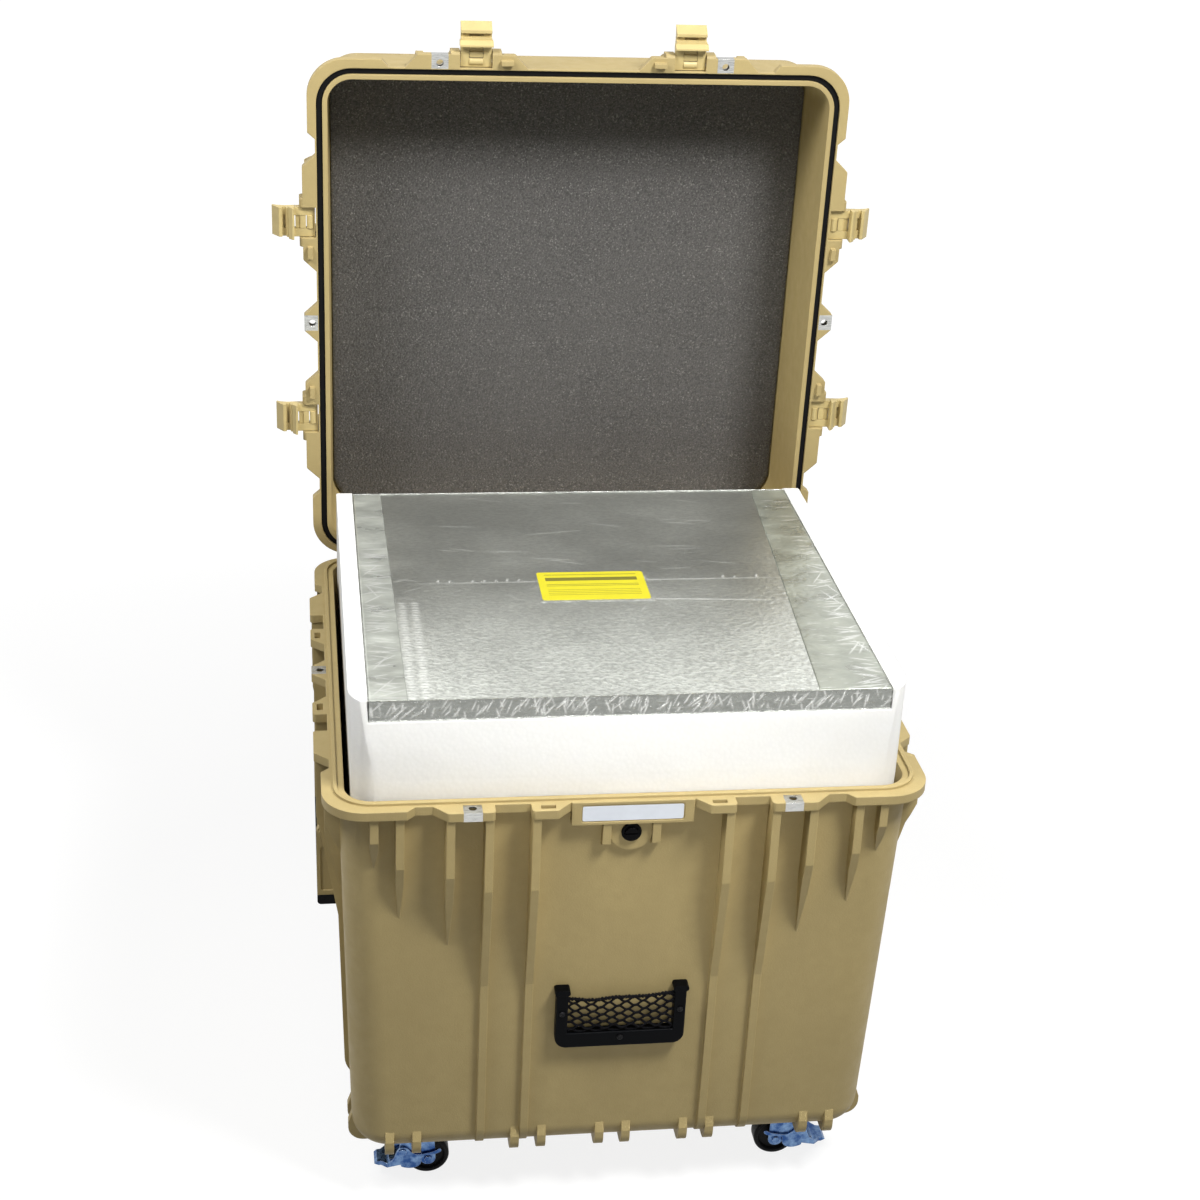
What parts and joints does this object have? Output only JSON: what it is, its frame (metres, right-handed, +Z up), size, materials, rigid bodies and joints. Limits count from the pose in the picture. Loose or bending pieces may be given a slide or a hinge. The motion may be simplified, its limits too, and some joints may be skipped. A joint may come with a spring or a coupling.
{
  "type": "specimen transport box",
  "caption": "Moulded cube transport case on swivel casters, its hinged lid open, with a foam liner, vacuum insulated panels, coolant packs and an empty payload space.",
  "frame": {"origin": "on the floor, under the middle of the outline with the lid open", "axes": "+X to the right as seen from the front, +Y to the back, towards the hinge, +Z up"},
  "size_m": [0.746, 0.8094, 1.2464],
  "materials": {
    "case_plastic": "moulded tan copolymer, fine spark texture",
    "latch_plastic": "moulded tan plastic, smooth satin",
    "grip_rubber": "moulded rubber, matte",
    "gasket_rubber": "extruded rubber, matte",
    "pad_foam": "open cell foam, speckled",
    "liner_foam": "moulded white foam, smooth skin",
    "panel_foil": "metallised film over the panel, creased",
    "coolant_plastic": "blow moulded white plastic, satin",
    "stainless_steel": "stamped stainless steel, satin",
    "screw_steel": "blackened steel, satin",
    "zinc_steel": "bright zinc plate, bluish",
    "wheel_rubber": "moulded black tread, matte",
    "pocket_plastic": "moulded black plastic, satin",
    "net_cord": "knitted elastic cord",
    "valve_plastic": "moulded black plastic",
    "white_label": "plain printed film, glossy",
    "yellow_label": "plain printed film, glossy"
  },
  "bodies": {
    "base": {"base_shell": "case_plastic", "hinge_pins": "stainless_steel", "base_padlock_plates": "stainless_steel", "name_label": "white_label", "purge_valve_body": "valve_plastic", "pocket_frame": "pocket_plastic", "pocket_net": "net_cord", "pocket_screws": "screw_steel", "handle_pins": "stainless_steel", "foam_liner": "liner_foam", "vip_base": "panel_foil", "vip_sides": "panel_foil", "coolant_base": "coolant_plastic", "coolant_sides": "coolant_plastic", "caster_plates": "zinc_steel", "caster_bolts": "zinc_steel"},
    "lid": {"lid_shell": "case_plastic", "lid_gasket": "gasket_rubber", "lid_foam_pad": "pad_foam", "lid_padlock_plates": "stainless_steel", "latch_pins": "stainless_steel"},
    "latch_front_left": {"latch_lever_front_left": "latch_plastic"},
    "trigger_front_left": {"latch_trigger_front_left": "latch_plastic"},
    "latch_front_right": {"latch_lever_front_right": "latch_plastic"},
    "trigger_front_right": {"latch_trigger_front_right": "latch_plastic"},
    "latch_right_front": {"latch_lever_right_front": "latch_plastic"},
    "trigger_right_front": {"latch_trigger_right_front": "latch_plastic"},
    "latch_right_back": {"latch_lever_right_back": "latch_plastic"},
    "trigger_right_back": {"latch_trigger_right_back": "latch_plastic"},
    "latch_left_front": {"latch_lever_left_front": "latch_plastic"},
    "trigger_left_front": {"latch_trigger_left_front": "latch_plastic"},
    "latch_left_back": {"latch_lever_left_back": "latch_plastic"},
    "trigger_left_back": {"latch_trigger_left_back": "latch_plastic"},
    "purge_knob": {"purge_valve_knob": "valve_plastic"},
    "handle_right": {"handle_bail_right": "case_plastic", "handle_grip_right": "grip_rubber"},
    "handle_left": {"handle_bail_left": "case_plastic", "handle_grip_left": "grip_rubber"},
    "coolant_pack": {"coolant_top": "coolant_plastic"},
    "insulated_lid": {"vip_lid": "panel_foil", "notice_label": "yellow_label"},
    "caster_front_left": {"caster_fork_front_left": "zinc_steel", "caster_pins_front_left": "zinc_steel"},
    "wheel_front_left": {"caster_wheel_front_left": "wheel_rubber"},
    "pedal_front_left": {"caster_pedal_front_left": "zinc_steel"},
    "caster_front_right": {"caster_fork_front_right": "zinc_steel", "caster_pins_front_right": "zinc_steel"},
    "wheel_front_right": {"caster_wheel_front_right": "wheel_rubber"},
    "pedal_front_right": {"caster_pedal_front_right": "zinc_steel"},
    "caster_back_left": {"caster_fork_back_left": "zinc_steel", "caster_pins_back_left": "zinc_steel"},
    "wheel_back_left": {"caster_wheel_back_left": "wheel_rubber"},
    "pedal_back_left": {"caster_pedal_back_left": "zinc_steel"},
    "caster_back_right": {"caster_fork_back_right": "zinc_steel", "caster_pins_back_right": "zinc_steel"},
    "wheel_back_right": {"caster_wheel_back_right": "wheel_rubber"},
    "pedal_back_right": {"caster_pedal_back_right": "zinc_steel"}
  },
  "joints": [
    {"name": "lid_hinge", "type": "hinge", "parent": "base", "child": "lid", "pos_m": [0, 0.25815, 0.5465], "axis": [-1, 0, 0], "range_deg": [-87.14, 0]},
    {"name": "latch_front_left_swing", "type": "hinge", "parent": "lid", "child": "latch_front_left", "pos_m": [-0.129, 0.23741, 1.20013], "axis": [-1, 0, 0], "range_deg": [-90, 0]},
    {"name": "trigger_front_left_press", "type": "hinge", "parent": "latch_front_left", "child": "trigger_front_left", "pos_m": [-0.129, 0.23786, 1.21117], "axis": [-1, 0, 0], "range_deg": [0, 8], "stiffness_Nm_per_rad": 0.2},
    {"name": "latch_front_right_swing", "type": "hinge", "parent": "lid", "child": "latch_front_right", "pos_m": [0.129, 0.23741, 1.20013], "axis": [-1, 0, 0], "range_deg": [-90, 0]},
    {"name": "trigger_front_right_press", "type": "hinge", "parent": "latch_front_right", "child": "trigger_front_right", "pos_m": [0.129, 0.23786, 1.21117], "axis": [-1, 0, 0], "range_deg": [0, 8], "stiffness_Nm_per_rad": 0.2},
    {"name": "latch_right_front_swing", "type": "hinge", "parent": "lid", "child": "latch_right_front", "pos_m": [0.327, 0.24729, 1.00238], "axis": [0, -0.0499, 0.9988], "range_deg": [-90, 0]},
    {"name": "trigger_right_front_press", "type": "hinge", "parent": "latch_right_front", "child": "trigger_right_front", "pos_m": [0.338, 0.24829, 1.00243], "axis": [0, -0.0499, 0.9988], "range_deg": [0, 8], "stiffness_Nm_per_rad": 0.2},
    {"name": "latch_right_back_swing", "type": "hinge", "parent": "lid", "child": "latch_right_back", "pos_m": [0.327, 0.26016, 0.7447], "axis": [0, -0.0499, 0.9988], "range_deg": [-90, 0]},
    {"name": "trigger_right_back_press", "type": "hinge", "parent": "latch_right_back", "child": "trigger_right_back", "pos_m": [0.338, 0.26116, 0.74475], "axis": [0, -0.0499, 0.9988], "range_deg": [0, 8], "stiffness_Nm_per_rad": 0.2},
    {"name": "latch_left_front_swing", "type": "hinge", "parent": "lid", "child": "latch_left_front", "pos_m": [-0.327, 0.24729, 1.00238], "axis": [0, 0.0499, -0.9988], "range_deg": [-90, 0]},
    {"name": "trigger_left_front_press", "type": "hinge", "parent": "latch_left_front", "child": "trigger_left_front", "pos_m": [-0.338, 0.24829, 1.00243], "axis": [0, 0.0499, -0.9988], "range_deg": [0, 8], "stiffness_Nm_per_rad": 0.2},
    {"name": "latch_left_back_swing", "type": "hinge", "parent": "lid", "child": "latch_left_back", "pos_m": [-0.327, 0.26016, 0.7447], "axis": [0, 0.0499, -0.9988], "range_deg": [-90, 0]},
    {"name": "trigger_left_back_press", "type": "hinge", "parent": "latch_left_back", "child": "trigger_left_back", "pos_m": [-0.338, 0.26116, 0.74475], "axis": [0, 0.0499, -0.9988], "range_deg": [0, 8], "stiffness_Nm_per_rad": 0.2},
    {"name": "purge_knob_turn", "type": "hinge", "parent": "base", "child": "purge_knob", "pos_m": [0, -0.38509, 0.50884], "axis": [0, -0.9996, -0.027], "range_deg": [0, 180]},
    {"name": "handle_right_swing", "type": "hinge", "parent": "base", "child": "handle_right", "pos_m": [0.322, -0.0687, 0.398], "axis": [0, -1, 0], "range_deg": [0, 90]},
    {"name": "handle_left_swing", "type": "hinge", "parent": "base", "child": "handle_left", "pos_m": [-0.322, -0.0687, 0.398], "axis": [0, 1, 0], "range_deg": [0, 90]},
    {"name": "coolant_lift", "type": "slide", "parent": "base", "child": "coolant_pack", "axis": [0, 0, 1], "range_m": [0, 0.25]},
    {"name": "insulated_lid_lift", "type": "slide", "parent": "coolant_pack", "child": "insulated_lid", "axis": [0, 0, 1], "range_m": [0, 0.15]},
    {"name": "caster_front_left_swivel", "type": "hinge", "parent": "base", "child": "caster_front_left", "pos_m": [-0.22215, -0.30285, 0.066], "axis": [0, 0, 1], "continuous": true},
    {"name": "wheel_front_left_roll", "type": "hinge", "parent": "caster_front_left", "child": "wheel_front_left", "pos_m": [-0.21015, -0.30285, 0.0254], "axis": [0, 1, 0], "continuous": true},
    {"name": "pedal_front_left_press", "type": "hinge", "parent": "caster_front_left", "child": "pedal_front_left", "pos_m": [-0.24015, -0.30285, 0.038], "axis": [0, -1, 0], "range_deg": [0, 9]},
    {"name": "caster_front_right_swivel", "type": "hinge", "parent": "base", "child": "caster_front_right", "pos_m": [0.22215, -0.30285, 0.066], "axis": [0, 0, 1], "continuous": true},
    {"name": "wheel_front_right_roll", "type": "hinge", "parent": "caster_front_right", "child": "wheel_front_right", "pos_m": [0.21015, -0.30285, 0.0254], "axis": [0, 1, 0], "continuous": true},
    {"name": "pedal_front_right_press", "type": "hinge", "parent": "caster_front_right", "child": "pedal_front_right", "pos_m": [0.24015, -0.30285, 0.038], "axis": [0, 1, 0], "range_deg": [0, 9]},
    {"name": "caster_back_left_swivel", "type": "hinge", "parent": "base", "child": "caster_back_left", "pos_m": [-0.22215, 0.15345, 0.066], "axis": [0, 0, 1], "continuous": true},
    {"name": "wheel_back_left_roll", "type": "hinge", "parent": "caster_back_left", "child": "wheel_back_left", "pos_m": [-0.21015, 0.15345, 0.0254], "axis": [0, 1, 0], "continuous": true},
    {"name": "pedal_back_left_press", "type": "hinge", "parent": "caster_back_left", "child": "pedal_back_left", "pos_m": [-0.24015, 0.15345, 0.038], "axis": [0, -1, 0], "range_deg": [0, 9]},
    {"name": "caster_back_right_swivel", "type": "hinge", "parent": "base", "child": "caster_back_right", "pos_m": [0.22215, 0.15345, 0.066], "axis": [0, 0, 1], "continuous": true},
    {"name": "wheel_back_right_roll", "type": "hinge", "parent": "caster_back_right", "child": "wheel_back_right", "pos_m": [0.21015, 0.15345, 0.0254], "axis": [0, 1, 0], "continuous": true},
    {"name": "pedal_back_right_press", "type": "hinge", "parent": "caster_back_right", "child": "pedal_back_right", "pos_m": [0.24015, 0.15345, 0.038], "axis": [0, 1, 0], "range_deg": [0, 9]}
  ]
}
